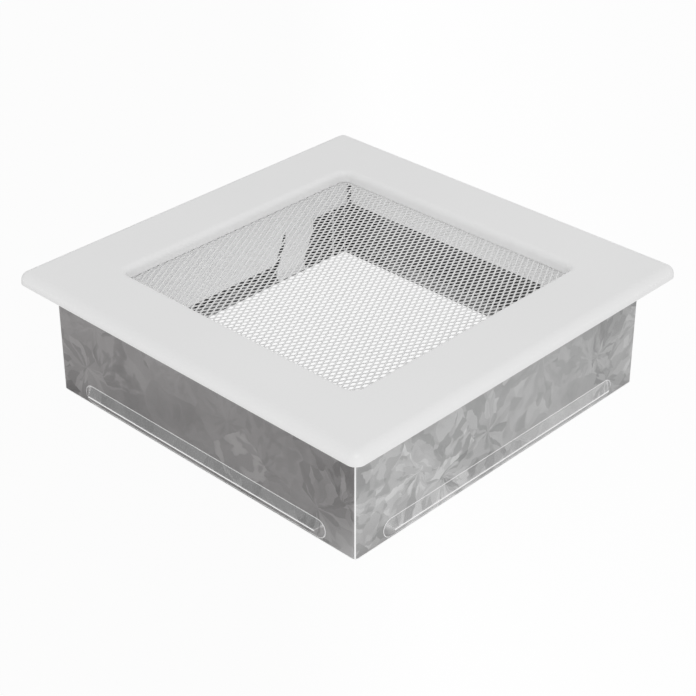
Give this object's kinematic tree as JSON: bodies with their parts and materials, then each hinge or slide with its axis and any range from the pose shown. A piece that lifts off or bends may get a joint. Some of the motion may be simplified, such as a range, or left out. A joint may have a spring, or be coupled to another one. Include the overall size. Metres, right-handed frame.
{
  "type": "fireplace vent grille",
  "caption": "Square fireplace vent grille: white pressed cover with expanded metal mesh and a sprung inner frame, pushed into a galvanised wall box.",
  "frame": {"origin": "centre of the wall box at its lower edge, on the surface it stands on", "axes": "+Z out of the wall towards the cover's face; X and Y along the sides, with the spring legs on the two X sides"},
  "size_m": [0.22, 0.22, 0.0645],
  "materials": {
    "cover_paint": "white powder coat, satin",
    "mesh_paint": "white powder coat, satin",
    "inner_paint": "white powder coat, satin",
    "rivet_metal": "plain, satin",
    "box_zinc": "hot-dip galvanised, spangled"
  },
  "bodies": {
    "wall_box": {"mounting_box": "box_zinc"},
    "cover": {"front_frame": "cover_paint", "expanded_mesh": "mesh_paint", "inner_frame": "inner_paint", "frame_rivets": "rivet_metal"}
  },
  "joints": [
    {"name": "cover_pull_out", "type": "slide", "parent": "wall_box", "child": "cover", "axis": [0, 0, 1], "range_m": [0, 0.058]}
  ]
}
